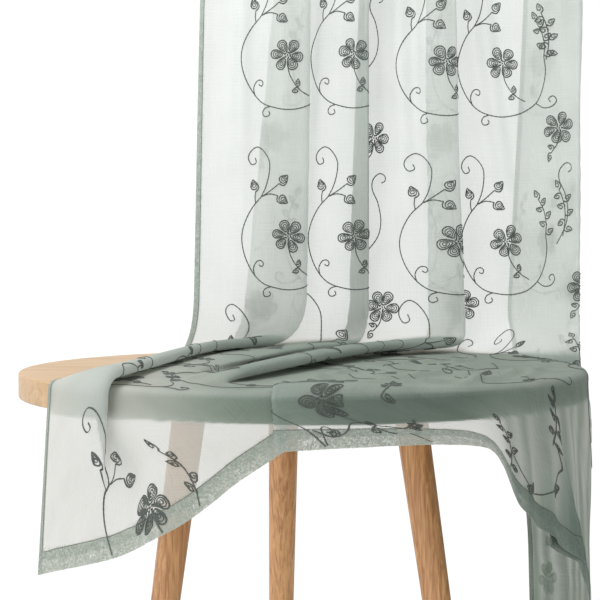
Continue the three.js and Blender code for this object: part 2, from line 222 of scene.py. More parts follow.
# One row for each line that the drape follows: where it stands at the top edge, low down, on
# the table (back, far, near), at the rim and at the hem. turn says to which side a fold
# closes, full how far the cloth swells into it and out of it, and tight how far it is closed.
# A ring line is given round the rim, in degrees, and a free line hangs clear of the table.
# The run down a line counts from 0 at the top edge over 2, the back of the table, and 5, the
# rim, to 7 at the hem.
drape_lines = [
    # left edge
    dict(top=(-149, 0), low=(-162, 0), back=(-186, 285, 1), far=(-212, 170, 1),
         near=(-275, -110, 1), rim=(-54.8, 0), hem=(-56.5, 10, -237),
         turn=0, full=(0, 0), tight=(0, 0, 0, 0, 0, 0, 0)),
    # first fold front
    dict(top=(13, 34), low=(8, 16), back=(-40, 276, 17), far=(-122, 170, 16),
         near=(-186, -130, 15), rim=(-35, 14), hem=(-38, 12, -204),
         turn=1, full=(78, 24), tight=(1, 1, 1, 1, 1, 1, 0)),
    # first fold back
    dict(top=(-32, -30), low=(-85, -10), back=(-125, 283, 5), far=(-170, 172, 4),
         near=(-226, -122, 5), rim=(-40.5, 3.5), hem=(-33, 8, -193),
         turn=1, full=(14, 14), tight=(1, 1, 1, 1, 1, 1, 0)),
    # second fold front
    dict(top=(99, 30), low=(101, 14), back=(75, 283, 14), far=(0, 175, 13),
         near=(-130, -135, 9), rim=(-29, 0), hem=(-26, 8, -170),
         turn=1, full=(44, 15), tight=(1, 1, 1, 1, 0.2, 0, 0)),
    # second fold back
    dict(top=(87, -26), low=(72, -10), back=(38, 287, 5), far=(-30, 178, 4),
         near=(-120, -130, 4), rim=(-25, 0), hem=(-20, 8, -147),
         turn=1, full=(14, 14), tight=(1, 1, 1, 1, 0.2, 0, 0)),
    # third fold front
    dict(top=(225, 34), low=(243, 16), back=(226, 262, 16), far=(115, 185, 15),
         near=(-28, -130, 12), rim=(-20, 0), hem=(-15, 8, -122),
         turn=1, full=(74, 28), tight=(1, 1, 1, 1, 1, 0, 0)),
    # third fold back
    dict(top=(185, -28), low=(190, -10), back=(165, 272, 5), far=(65, 188, 4),
         near=(-66, -128, 4), rim=(-15, 0), hem=(-11, 8, -100),
         turn=1, full=(14, 14), tight=(1, 1, 1, 1, 1, 0, 0)),
    # front pleat back
    dict(top=(285, -12), low=(285, -2), back=(205, 263, 2), far=(170, 165, 1),
         near=(45, -130, 1), rim=(-2, 0), hem=(-2.5, 5, -62),
         turn=-1, full=(10, 10), tight=(0, 0, 0, 0, 0, 1, 1)),
    # front pleat edge
    dict(top=(312, -4), low=(305, 0), back=(235, 254, 2), far=(215, 160, 1),
         near=(75, -132, 1), rim=(-5.3, 6), hem=(-4.8, 11, -64),
         turn=-1, full=(10, 24), tight=(0, 0, 0, 0, 0, 1, 1)),
    # front right
    dict(top=(350, 10), low=(335, 12), back=(262, 240, 2), far=(275, 150, 1),
         near=(215, -130, 1), rim=(33, 0), hem=(33, 10, -66),
         turn=0, full=(0, 0), tight=(0, 0, 0, 0, 0, 0, 0)),
    # right corner
    dict(top=(359, 12), low=(344, 21), back=(272, 235, 3), far=(303, 143, 1),
         near=(268, -125, 1), rim=(41, 0), hem=(37.5, 24, -126),
         turn=0, full=(0, 0), tight=(0, 0, 0, 0, 0, 0, 0)),
    # right rim
    dict(top=(368, 14), low=(352, 30), back=(129.3, 363, 3.5), far=(110, 357, 2),
         near=(71, 352, 2), rim=(48, 0), hem=(44.5, 12, -164), ring=True,
         turn=0, full=(0, 0), tight=(0, 0, 0, 0, 0, 0, 0)),
    # right pleat edge
    dict(top=(375, 14), low=(358, 40), back=(127.5, 369, 4.5), far=(109.7, 369, 3),
         near=(72, 369, 3), rim=(53, 0), hem=(58, 24, -222), ring=True,
         turn=1, full=(12, 12), tight=(0, 0, 0, 0, 0, 0, 1)),
    # right pleat back
    dict(top=(382, 13), low=(365, 50), back=(125.5, 376, 6), far=(109.3, 375.4, 0.4),
         near=(72.3, 375.4, 0.4), rim=(57, 0), hem=(49.5, 6, -192), ring=True, below=26,
         turn=1, full=(12, 12), tight=(0, 0, 0, 0, 0, 0, 1)),
    # right drop
    dict(top=(390, 12), low=(372, 60), back=(123, 384, 8), far=(109, 378.5, -15),
         near=(72.5, 378.5, -18), rim=(61, 0), hem=(62, 12, -238), ring=True, below=45,
         turn=0, full=(0, 0), tight=(0, 0, 0, 0, 0, 0, 0)),
    # right turn
    dict(top=(417, 2), low=(402, 100), back=(392, 130, 18), far=(388, 90, -90),
         near=(386, 50, -220), rim=(384, 30, -280), hem=(382, 10, -400), free=True,
         turn=1, full=(30, 30), tight=(1, 1, 0.6, 0, 0, 0, 0)),
    # right edge
    dict(top=(338, -44), low=(316, -52), back=(316, 300, 18), far=(323, 268, -90),
         near=(330, 236, -220), rim=(333, 228, -280), hem=(336, 216, -430), free=True,
         turn=0, full=(0, 0), tight=(0, 0, 0, 0, 0, 0, 0)),
]


def ease(t):
    return t * t * (3 - 2 * t)


def rise(value, low, high):
    return ease(np.clip((value - low) / (high - low), 0, 1))


def fall(value, low, high):
    return rise(-value, -high, -low)


def on_circle(degrees, out, z):
    a = math.radians(degrees)
    return np.array([out * math.sin(a), -out * math.cos(a), z])


def to_round(p):
    return np.array([radius * math.atan2(p[0], -p[1]), math.hypot(p[0], p[1]), p[2]])


def from_round(p):
    a = p[..., 0] / radius
    return np.stack([p[..., 1] * np.sin(a), -p[..., 1] * np.cos(a), p[..., 2]], -1)


def cubic(p, u, q, v, t):
    t = np.asarray(t, float)[..., None]
    return ((2 * t**3 - 3 * t**2 + 1) * p + (t**3 - 2 * t**2 + t) * u
            + (3 * t**2 - 2 * t**3) * q + (t**3 - t**2) * v)


def stage_point(line, stage):
    if stage == 0:
        return np.array([line["top"][0], hang_back - line["top"][1], hang_height])
    if stage == 1:
        return np.array([line["low"][0], hang_back - line["low"][1], low_height])
    if stage < 5:
        place = (line["back"], line["far"], line["near"])[stage - 2]
        return on_circle(*place) if "ring" in line else np.array(place, float)
    if "free" in line:
        share = (0, 0.12, 1)[stage - 5]
        return np.array(line["rim"]) * (1 - share) + np.array(line["hem"]) * share
    degrees, lift = line["rim"]
    if stage == 5 and "below" in line:
        return on_circle(degrees, radius + rim_clear, -0.6 * line["below"])
    if stage == 5:
        return on_circle(degrees, radius - rim_bend, rim_clear + lift)
    if stage == 6:
        return on_circle(degrees, radius + rim_clear + lift, -line.get("below", rim_bend))
    return on_circle(line["hem"][0], radius + rim_clear + line["hem"][1], line["hem"][2])


def line_point(line, run):
    stage = min(int(run), 6)
    t = run - stage
    p, q = stage_point(line, stage), stage_point(line, stage + 1)
    hard = "free" in line or "below" in line
    if stage in (0, 6) or (stage == 5 and hard):
        return p * (1 - t) + q * t
    if stage == 1:
        lean = (p - stage_point(line, 0)) * 0.1
        down = np.array([p[0] + lean[0], p[1] + lean[1], p[2] - 0.75 * (p[2] - q[2])])
        ahead = stage_point(line, 3) - q
        ahead[2] *= hard
        land = q - ahead / np.linalg.norm(ahead) * knee_reach
        return ((1 - t)**3 * p + 3 * (1 - t)**2 * t * down + 3 * (1 - t) * t * t * land + t**3 * q)
    if stage == 5:
        bend = rim_bend + rim_clear + line["rim"][1]
        a = t * math.pi / 2
        return on_circle(line["rim"][0], radius - rim_bend + bend * math.sin(a),
                         -rim_bend + bend * math.cos(a))
    before, after = 2 * p - q, 2 * q - p
    if stage > 2 or "free" in line:
        before = stage_point(line, stage - 1)
    if stage < 4:
        after = stage_point(line, stage + 2)
    elif "free" in line:
        after = stage_point(line, 7)
    if "ring" in line:
        before, p, q, after = (to_round(x) for x in (before, p, q, after))
    point = cubic(p, (q - before) / 2, q, (after - p) / 2, t)
    return from_round(point) if "ring" in line else point


def facing(line, run, point):
    forward, up = np.array([0, -1.0, 0]), np.array([0, 0, 1.0])
    if "free" in line or run <= 1:
        return forward
    if run <= 2:
        way = forward + (up - forward) * ease(run - 1)
        return way / np.linalg.norm(way)
    if run <= 5:
        return up
    out = np.array([point[0], point[1], 0]) / math.hypot(point[0], point[1])
    a = min(run - 5, 1) * math.pi / 2
    return out * math.sin(a) + up * math.cos(a)


def tightness(line, run):
    stage = min(int(run), 6)
    closed = line["tight"][:6] + line["tight"][5:]
    share = ease(run - stage)
    return closed[stage] * (1 - share) + closed[stage + 1] * share


def clear_table(p):
    out = np.hypot(p[:, 0], p[:, 1])
    clear = rest + (rim_clear - rest) * rise(out, radius - 70, radius - 20)
    across = out - (radius - edge_round)
    over = np.abs(p[:, 2] + thick / 2) - (thick / 2 - edge_round)
    gap = np.hypot(np.maximum(across, 0), np.maximum(over, 0))
    push = clear - (gap + np.minimum(np.maximum(across, over), 0) - edge_round)
    safe = np.maximum(gap, 1e-9)
    sideways = np.where(gap > 1e-9, np.maximum(across, 0) / safe, across > over)
    upwards = np.where(gap > 1e-9, np.maximum(over, 0) / safe, across <= over)
    push = np.maximum(push, 0)
    away = 1 + sideways * push / np.maximum(out, 1e-9)
    return np.stack([p[:, 0] * away, p[:, 1] * away,
                     p[:, 2] + upwards * push * np.sign(p[:, 2] + thick / 2)], -1)


def run_slopes(points):
    spans = np.linalg.norm(np.diff(points, axis=0), axis=1)
    slopes = []
    for j in range(len(points)):
        first, last = max(j - 1, 0), min(j + 1, len(points) - 1)
        slopes.append((points[last] - points[first]) / max(spans[first:last].sum(), 1))
    return spans, np.array(slopes)


def cloth_row(run, count):
    points = np.array([line_point(line, run) for line in drape_lines])
    closed = [tightness(line, run) for line in drape_lines]
    turns = np.array([-facing(line, run, p) * c * line["turn"]
                      for line, p, c in zip(drape_lines, points, closed)])
    angles = np.arctan2(points[:, 0], -points[:, 1])
    round_turns = np.stack([turns[:, 0] * np.cos(angles) + turns[:, 1] * np.sin(angles),
                            turns[:, 0] * np.sin(angles) - turns[:, 1] * np.cos(angles),
                            turns[:, 2]], -1)
    round_points = np.array([to_round(p) for p in points])
    flat_run, round_run = run_slopes(points), run_slopes(round_points)
    t = np.arange(count) / count
    row = []
    for j in range(len(points) - 1):
        last = j == len(points) - 2
        first = 1 if "ring" in drape_lines[j] or "free" in drape_lines[j] else 4

        def piece(places, run_of, bends):
            spans, slopes = run_of
            u, v = (slopes[j + k] * spans[j] * (1 - closed[j + k])
                    + bends[j + k] * drape_lines[j + k]["full"][1 - k] for k in (0, 1))
            return cubic(places[j], u, places[j + 1], v, np.append(t, 1) if last else t)
        part = piece(points, flat_run, turns)
        share = float(ease(np.clip(run - first, 0, 1)))
        if share > 0:
            bent = from_round(piece(round_points, round_run, round_turns))
            part = part * (1 - share) + bent * share
        row.append(part)
    return clear_table(np.concatenate(row))


# The panel is laid out on its own width and length: its columns share the width of each row
# evenly, and its rows are spaced evenly down the cloth.
columns, rows = 288, 326
steps = (150, 90, 60, 100, 90, 24, 110)
runs = np.concatenate([k + np.arange(n) / n for k, n in enumerate(steps)] + [[7.0]])
shares = np.linspace(0, 1, columns + 1)
draft = np.empty((len(runs), columns + 1, 3))
for i, run in enumerate(runs):
    row = cloth_row(run, 32)
    length = np.append(0, np.cumsum(np.linalg.norm(np.diff(row, axis=0), axis=1)))
    for k in range(3):
        draft[i, :, k] = np.interp(shares, length / length[-1], row[:, k])
down = np.zeros(draft.shape[:2])
down[1:] = np.cumsum(np.linalg.norm(np.diff(draft, axis=0), axis=2), axis=0)
mean_down = down.mean(axis=1)
even = np.interp(np.linspace(0, mean_down[-1], rows + 1), mean_down, np.arange(len(runs)))
lower = np.minimum(even.astype(int), len(runs) - 2)
part = (even - lower)[:, None, None]
cloth = draft[lower] * (1 - part) + draft[lower + 1] * part
cloth_run = np.interp(even, np.arange(len(runs)), runs)


def cloth_normals(grid):
    along = np.gradient(grid, axis=0)
    across = np.gradient(grid, axis=1)
    normal = np.cross(along, across)
    return normal / np.maximum(np.linalg.norm(normal, axis=2, keepdims=True), 1e-9)


# Soft ripples in the hang, low creases on the table, each with its ends, width and height in
# millimetres, and flutes round the rim, each with its angle, width and stand-off.
creases = [
    dict(start=(250, 60), end=(60, -330), wide=8, high=5.5),
    dict(start=(300, -40), end=(165, -345), wide=9, high=6.0),
    dict(start=(200, 150), end=(120, 20), wide=8, high=4.5),
    dict(start=(330, 40), end=(262, -250), wide=8, high=5.0),
    dict(start=(60, -60), end=(-20, -330), wide=8, high=5.0),
    dict(start=(120, 60), end=(10, -150), wide=9, high=4.0),
    dict(start=(-110, -90), end=(-150, -320), wide=9, high=4.5),
    dict(start=(260, 170), end=(190, 60), wide=9, high=4.5),
    dict(start=(-60, -215), end=(190, -140), wide=9, high=5.0),
    dict(start=(70, -295), end=(290, -215), wide=8, high=5.0),
    dict(start=(60, -20), end=(330, 20), wide=10, high=5.0),
    dict(start=(150, -90), end=(345, -110), wide=8, high=4.5),
]
flutes = [
    dict(degrees=36, wide=2.6, out=8),
    dict(degrees=42, wide=2.4, out=10),
    dict(degrees=48, wide=2.4, out=12),
    dict(degrees=58, wide=3.0, out=9),
    dict(degrees=-48, wide=3.5, out=5),
    dict(degrees=-25, wide=3.0, out=6),
    dict(degrees=10, wide=3.0, out=5),
    dict(degrees=18, wide=2.6, out=4),
    dict(degrees=26, wide=3.0, out=6),
]
wide_mm = shares[None, :] * panel_wide * 1000
run_here = cloth_run[:, None]
normals = cloth_normals(cloth)
broad_ripple, fine_ripple = 4.2, 1.5
gather = 0.55 + 0.45 * np.sin(wide_mm / 47 + 0.8)
ripple = (broad_ripple * np.sin(wide_mm / 10.5 + 0.9 * np.sin(run_here * 2.2)) * gather
          + fine_ripple * np.sin(wide_mm / 6.1 + 1.1 + run_here * 0.7))
ripple = ripple * fall(run_here, 0.3, 1.3)
spread = np.linalg.norm(np.diff(cloth, axis=1), axis=2).sum(axis=1) / (panel_wide * 1000)
slope = np.gradient(ripple, axis=1) / (panel_wide * 1000 / columns) / spread[:, None]
crowd = 1 - 1 / np.sqrt(1 + slope**2)
steps_across = np.diff(cloth, axis=1)
lengths = np.linalg.norm(steps_across, axis=2)
along_next = (steps_across[:, 1:] * steps_across[:, :-1]).sum(axis=2)
bends = 1 - along_next / (lengths[:, 1:] * lengths[:, :-1])
curve = np.zeros(crowd.shape)
curve[:, 1:-1] = np.sqrt(np.maximum(2 * bends, 0)) / lengths[:, 1:]
crowd = crowd + 0.3 * rise(curve, 0.025, 0.08) * fall(run_here, 1.6, 2.2)
cloth = cloth + normals * ripple[..., None]
flat_part = rise(run_here, 2.2, 2.6) * fall(run_here, 4.7, 5.2)
for crease in creases:
    start, end = np.array(crease["start"], float), np.array(crease["end"], float)
    way = end - start
    offset = cloth[..., :2] - start
    share = (offset @ way) / (way @ way)
    aside = np.abs(offset[..., 0] * way[1] - offset[..., 1] * way[0]) / np.linalg.norm(way)
    hump = np.exp(-(aside / crease["wide"])**2) * rise(share, 0, 0.3) * fall(share, 0.7, 1)
    cloth[..., 2] += crease["high"] * hump * flat_part
out = np.hypot(cloth[..., 0], cloth[..., 1])
angle = np.degrees(np.arctan2(cloth[..., 0], -cloth[..., 1]))
hanging = rise(-cloth[..., 2], 0, 110) * rise(run_here, 4.5, 6)
for flute in flutes:
    swell = flute["out"] * np.exp(-((angle - flute["degrees"]) / flute["wide"])**2) * hanging
    cloth[..., 0] += swell * cloth[..., 0] / out
    cloth[..., 1] += swell * cloth[..., 1] / out
cloth = clear_table(cloth.reshape(-1, 3)).reshape(cloth.shape)
cloth = cloth / 1000 + np.array([middle_x, middle_y, table_z])
normals = cloth_normals(cloth)
drop = np.zeros(cloth.shape[:2])
drop[1:] = np.cumsum(np.linalg.norm(np.diff(cloth, axis=0), axis=2), axis=0)


def grid_mesh(name, points, flat):
    """A mesh of one grid of points, with its flat place on the panel as its UV map."""
    tall, broad = points.shape[:2]
    corner = (np.arange(tall - 1)[:, None] * broad + np.arange(broad - 1)[None, :]).ravel()
    faces = np.stack([corner, corner + broad, corner + broad + 1, corner + 1], -1)
    mesh = bpy.data.meshes.new(name)
    mesh.from_pydata(points.reshape(-1, 3).tolist(), [], faces.tolist())
    mesh.uv_layers.new(name="flat")
    mesh.uv_layers["flat"].data.foreach_set("uv", flat.reshape(-1, 2)[faces.ravel()].ravel())
    mesh.polygons.foreach_set("use_smooth", np.ones(len(faces), bool))
    return mesh


def add_piece(name, mesh):
    piece = bpy.data.objects.new(name, mesh)
    bpy.context.collection.objects.link(piece)
    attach(piece, "root")
    return piece


# How the cloth is painted. Its shade mask is 1 where one layer lies on the wood, where the
# cloth is painted dark as painted shade and its weave closes; it is less at the left of the
# table, painted light, more in the middle of the front rim, a deeper painted shade, and it
# also paints shade on a fold strip, the dart and the right fall. crowd closes the weave
# further where it is bent or bunched, and hemmed marks the turned edges.
right = cloth[..., 0] - middle_x
below = table_z - cloth[..., 2]
on_rim = rise(below, 0, 0.006)
landing = run_here - 0.3 * rise(wide_mm, 760, 940)
flat_on = (fall(below, 0.0325, 0.0345) * rise(landing, 1.62, 1.86)
           * fall(np.hypot(right, cloth[..., 1] - middle_y), 0.410, 0.425))
# Painted shade: deeper in the middle of the front rim.
painted_rim_shade = on_rim * rise(right, -0.05, 0.08) * fall(right, 0.17, 0.25)
# Painted light and shade: lighter towards the left of the table, and darker on the rim than on the
# top.
shade_and_cover = flat_on * (1 - 0.6 * rise(-right, 0.06, 0.24) - 0.2 * rise(-right, 0.24, 0.33))
shade_and_cover = shade_and_cover * (0.84 + 0.16 * on_rim + 0.5 * painted_rim_shade)
# Painted shade on the right fall, in streaks round it, deeper lower down.
painted_fall_shade = rise(angle, 31, 41) * rise(below, 0, 0.02) * rise(run_here, 2, 2.4)
painted_fall_shade = painted_fall_shade * (0.87 + 0.13 * np.sin(angle * 1.05 + 1.6 * np.sin(angle * 0.31) + run_here))
painted_fall_shade = painted_fall_shade * (1 + 0.25 * rise(below, 0.10, 0.22))
# Painted shade along the dart in the left drop.
painted_dart_shade = np.exp(-((wide_mm - 150) / 18)**2) * rise(run_here, 5.8, 6) * fall(run_here, 6.3, 6.8)
# Painted shade on a fold strip high in the hang.
painted_strip_shade = rise(wide_mm, 466, 476) * fall(wide_mm, 514, 528) * fall(run_here, 1.2, 1.6)
turned_back = rise(wide_mm, 980, 1060) * fall(run_here, 1.4, 2.2)
crowd = (crowd + 0.42 * np.maximum(flat_on - shade_and_cover, 0) + 0.05 * flat_on
         + 0.1 * rise(run_here, 5.9, 6.2) + 0.34 * turned_back)
shade_and_cover = np.maximum.reduce([shade_and_cover, painted_strip_shade, painted_fall_shade, 0.45 * painted_dart_shade])
from_side = panel_wide * 500 - np.abs(wide_mm - panel_wide * 500)
hemmed = np.maximum(fall(drop[-1] - drop, 0.027, 0.030), fall(from_side, 8, 11))


def paint_cover(mesh, shade_and_cover_values, crowded, hem):
    for name, values in (("shade_and_cover", shade_and_cover_values), ("crowd", crowded), ("hemmed", hem)):
        mesh.attributes.new(name, "FLOAT", "POINT").data.foreach_set("value", values.ravel())


# Sheer plain weave, open between its yarns, which scatter light and let some through. It
# closes up where it is crowded into ripples, more in its hems, and most where it lies flat.
sheer_light, sheer_dark = (0.77, 0.805, 0.775, 1), (0.68, 0.72, 0.685, 1)
hem_dark, hem_light = (0.34, 0.40, 0.35, 1), (0.66, 0.72, 0.67, 1)
# Painted shade: two dark sage tones for the cloth on the table and for the strip, dart and fall
# painted with shade, and a deeper tone for the middle of the front rim.
painted_shade_pale, painted_shade_deep = (0.260, 0.332, 0.280, 1), (0.138, 0.186, 0.152, 1)
deepest_painted_shade, seen_through = (0.068, 0.092, 0.072, 1), (0.81, 0.845, 0.815, 1)
voile, weave = new_finish("voile")
flat = weave.node("ShaderNodeUVMap", settings={"uv_map": "flat"})
warp = weave.node("ShaderNodeMapping", {"Vector": flat, "Scale": (1500, 22, 1)})
weft = weave.node("ShaderNodeMapping", {"Vector": flat, "Scale": (22, 1500, 1)})
slub = (weave.node("ShaderNodeTexNoise", {"Vector": warp, "Scale": 1, "Detail": 2})
        + weave.node("ShaderNodeTexNoise", {"Vector": weft, "Scale": 1, "Detail": 2}))
cloud = weave.node("ShaderNodeTexNoise", {"Vector": flat, "Scale": 16, "Detail": 4})
pucker = weave.node("ShaderNodeTexNoise",
                    {"Vector": flat, "Scale": 240, "Detail": 3, "Distortion": 2.2})
pucker = pucker.between(0.38, 0.62)
shade_cover_fac = weave.node("ShaderNodeAttribute", settings={"attribute_name": "shade_and_cover"}, output="Fac")
close = weave.node("ShaderNodeAttribute", settings={"attribute_name": "crowd"}, output="Fac")
seam = weave.node("ShaderNodeAttribute", settings={"attribute_name": "hemmed"}, output="Fac")
patch = cloud.between(0.35, 0.7)
tone = patch.blend(sheer_light, sheer_dark)
# Painted shade: the hems are painted lighter on the tops of their puckers and darker in the
# hollows.
tone = seam.blend(tone, pucker.blend(hem_dark, hem_light))
grain = patch * 0.4 + slub.between(1.2, 0.8) * 0.6
# Painted shade: where the cloth lies on the table, and on the strip, dart and fall, the yarn is
# painted dark sage.
tone = shade_cover_fac.blend(tone, grain.blend(painted_shade_pale, painted_shade_deep))
# Painted shade: above 1 the yarn goes on to a deeper tone, in the middle of the front rim and low
# on the right fall.
tone = (shade_cover_fac - 1).blend(tone, deepest_painted_shade)
bump = weave.node("ShaderNodeBump", {"Height": slub * 0.3 + pucker * seam,
                                     "Strength": 0.4, "Distance": 0.0008})
yarn = weave.node("ShaderNodeBsdfPrincipled",
                  {"Base Color": tone, "Roughness": 0.85, "Normal": bump,
                   "Specular IOR Level": 0.2})
glow = weave.node("ShaderNodeBsdfTranslucent", {"Color": seen_through})
body = weave.node("ShaderNodeMixShader", {0: 0.5 - shade_cover_fac * 0.3, 1: yarn, 2: glow})
gap = weave.node("ShaderNodeBsdfTransparent")
cover = 0.65
share = (cover + close * 0.8 + shade_cover_fac * 0.31 + (slub - 1) * 0.22 + (cloud - 0.5) * 0.08
         + (0.58 - pucker) * seam * 0.75)
sheer = weave.node("ShaderNodeMixShader", {0: share, 1: gap, 2: body})
weave.node("ShaderNodeOutputMaterial", {"Surface": sheer})
flat_places = np.stack([np.broadcast_to(shares * panel_wide, drop.shape), drop], -1)
curtain = add_piece("voile_panel", grid_mesh("voile_panel", cloth, flat_places))
paint_cover(curtain.data, shade_and_cover, crowd, hemmed)
curtain.data.materials.append(voile)
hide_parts("curtain")

# The hems: the side edges are turned in twice to a 9 mm strip and the bottom edge to a 28 mm
# band, half of it doubled, so more layers of the voile lie behind the panel there, sewn down.
side_hem, bottom_hem = 0.009, 0.028
even_drop = np.linspace(0, drop[-1].max(), 900)
row_at = np.stack([np.interp(even_drop, drop[:, j], np.arange(rows + 1.0))
                   for j in range(columns + 1)], -1)


def hem_at(u):
    return np.interp(u, shares * panel_wide, drop[-1])


def on_cloth(u, v, lift):
    """The place in the room of a point on the flat panel, raised off its face by lift."""
    u, v, lift = np.broadcast_arrays(*(np.asarray(x, float) for x in (u, v, lift)))
    j = np.clip(u / panel_wide * columns, 0, columns - 1e-6)
    k = np.clip(v / even_drop[-1] * (len(even_drop) - 1), 0, len(even_drop) - 1 - 1e-6)
    left, above = j.astype(int), k.astype(int)
    place = 0
    for column, share in ((left, 1 - (j - left)), (left + 1, j - left)):
        r = row_at[above, column] * (1 - (k - above)) + row_at[above + 1, column] * (k - above)
        r = np.minimum(r, rows - 1e-6)
        row = r.astype(int)
        for i, part in ((row, 1 - (r - row)), (row + 1, r - row)):
            point = cloth[i, column] + normals[i, column] * lift[..., None]
            place = place + point * (share * part)[..., None]
    return place


def paint_at(values, u, v):
    j = np.clip(np.round(u / panel_wide * columns).astype(int), 0, columns)
    last = len(even_drop) - 1
    k = np.clip(np.round(v / even_drop[-1] * last).astype(int), 0, last)
    return values[np.round(row_at[k, j]).astype(int), j]


# Each layer lies a little further behind the panel and starts a little further in.
layers = [
    dict(lift=-0.00035, inset=0.0002, bottom=0),
    dict(lift=-0.0007, inset=0.0004, bottom=bottom_hem * 0.5),
]
down_side = np.linspace(0.0005, 1, 420)[:, None]
strips = []
for layer in layers:
    lift, inset = layer["lift"], layer["inset"]
    for first, last in ((inset, side_hem), (panel_wide - side_hem, panel_wide - inset)):
        u = np.broadcast_to(np.linspace(first, last, 5), (len(down_side), 5))
        strips.append((u, down_side * (hem_at(u) - inset), lift, 0.2))
    across = np.linspace(inset, panel_wide - inset, columns * 2 + 1)
    up = np.linspace(bottom_hem, layer["bottom"], 9)[:, None]
    u = np.broadcast_to(across, (len(up), len(across)))
    strips.append((u, hem_at(u) - inset - up, lift, 0))
hem_parts = []
bpy.ops.object.select_all(action="DESELECT")
for u, v, lift, closed in strips:
    mesh = grid_mesh("hem", on_cloth(u, v, lift), np.stack([u + lift * 40, v], -1))
    paint_cover(mesh, paint_at(shade_and_cover, u, v), paint_at(crowd, u, v) + closed, np.ones(u.shape))
    hem_parts.append(bpy.data.objects.new("hem", mesh))
    bpy.context.collection.objects.link(hem_parts[-1])
    hem_parts[-1].select_set(True)
bpy.context.view_layer.objects.active = hem_parts[0]
bpy.ops.object.join()
hems = bpy.context.object
hems.name = "hems"
hems.data.materials.append(voile)
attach(hems, "root")

# The embroidery: a scrolling vine with six-petalled flowers, leaves and curls, worked in
# grey-green thread on the face of the panel, rows of chain stitch for the petals and leaves.
sprays = [
    [(-40, -59), (-54, -43), (-65, -20), (-69, 2), (-65, 27), (-54, 52), (-39, 69), (-19, 77),
     (2, 80), (24, 76), (45, 64), (60, 44), (67, 20), (66, -4)],
    [(-40, -59), (-32, -75), (-27, -95), (-27, -112), (-36, -127), (-47, -133), (-57, -126),
     (-60, -116), (-55, -107), (-48, -110), (-50, -117)],
    [(-49, -50), (-50, -58), (-49, -67)],
    [(-40, -59), (-28, -66), (-12, -78)],
    [(-40, -59), (-27, -63), (-14, -60)],
    [(0, 9), (2, 26), (9, 41), (18, 52), (30, 60)],
    [(-50, 59), (-52, 47), (-47, 37), (-40, 36), (-37, 41), (-40, 45), (-44, 42)],
    [(-27, 75), (-35, 78), (-38, 85), (-34, 90), (-27, 87), (-29, 82)],
    [(45, 64), (58, 72), (72, 72), (80, 64), (76, 56), (69, 60), (72, 65)],
    [(66, -4), (68, -22), (64, -42), (56, -58)],
]
leaves = [
    dict(at=(-49, -67), way=-105, long=20, wide=13),
    dict(at=(-12, -78), way=-42, long=20, wide=15),
    dict(at=(-14, -60), way=38, long=20, wide=15),
    dict(at=(13, 46), way=-80, long=13, wide=8),
    dict(at=(17, 51), way=165, long=14, wide=9),
    dict(at=(67, -6), way=-20, long=17, wide=10),
    dict(at=(68, -16), way=-150, long=17, wide=10),
    dict(at=(66, -29), way=-35, long=17, wide=10),
    dict(at=(64, -40), way=-165, long=16, wide=9),
    dict(at=(60, -49), way=-50, long=15, wide=9),
    dict(at=(56, -58), way=-112, long=17, wide=10),
]
half_sprays = [
    [(-14, 172), (-2, 158), (6, 143), (9, 123), (5, 98), (-3, 78), (-2, 63), (7, 54), (16, 57),
     (17, 65), (11, 68)],
    [(0, 8), (-4, 24), (-14, 36)],
]
half_leaves = [
    dict(at=(-14, 36), way=120, long=16, wide=10),
    dict(at=(-9, 30), way=205, long=14, wide=8),
]
# The width and height of each kind of stitch, in metres.
vine_stitch, hem_stitch = (0.0019, 0.0008), (0.0007, 0.0004)
outline_stitch, filling_stitch, knot_stitch = (0.0023, 0.001), (0.0018, 0.0009), (0.0018, 0.0014)
stitch_long = 0.0028
thread_points, thread_faces, thread_marks = [], [], []


def charted(offsets, centre):
    """Millimetres on the chart as a place on the panel, to scale where the cloth lies there."""
    reach = 0.022
    u = min(max(centre[0], reach), panel_wide - reach)
    v = min(max(centre[1], reach), hem_at(u) - reach)
    ends = on_cloth([u + reach, u - reach, u, u], [v, v, v + reach, v - reach], 0)
    pull = np.stack([ends[0] - ends[1], ends[2] - ends[3]]) / (2 * reach)
    sizes, ways = np.linalg.eigh(pull @ pull.T)
    scale = ways @ np.diag(1 / np.sqrt(np.clip(sizes, 0.55, 2.2))) @ ways.T
    return centre + np.asarray(offsets, float) / 1000 @ scale


def inside(places):
    u, v = places[:, 0], places[:, 1]
    return (u > 0.003) & (u < panel_wide - 0.003) & (v > 0.002) & (v < hem_at(u) - 0.003)


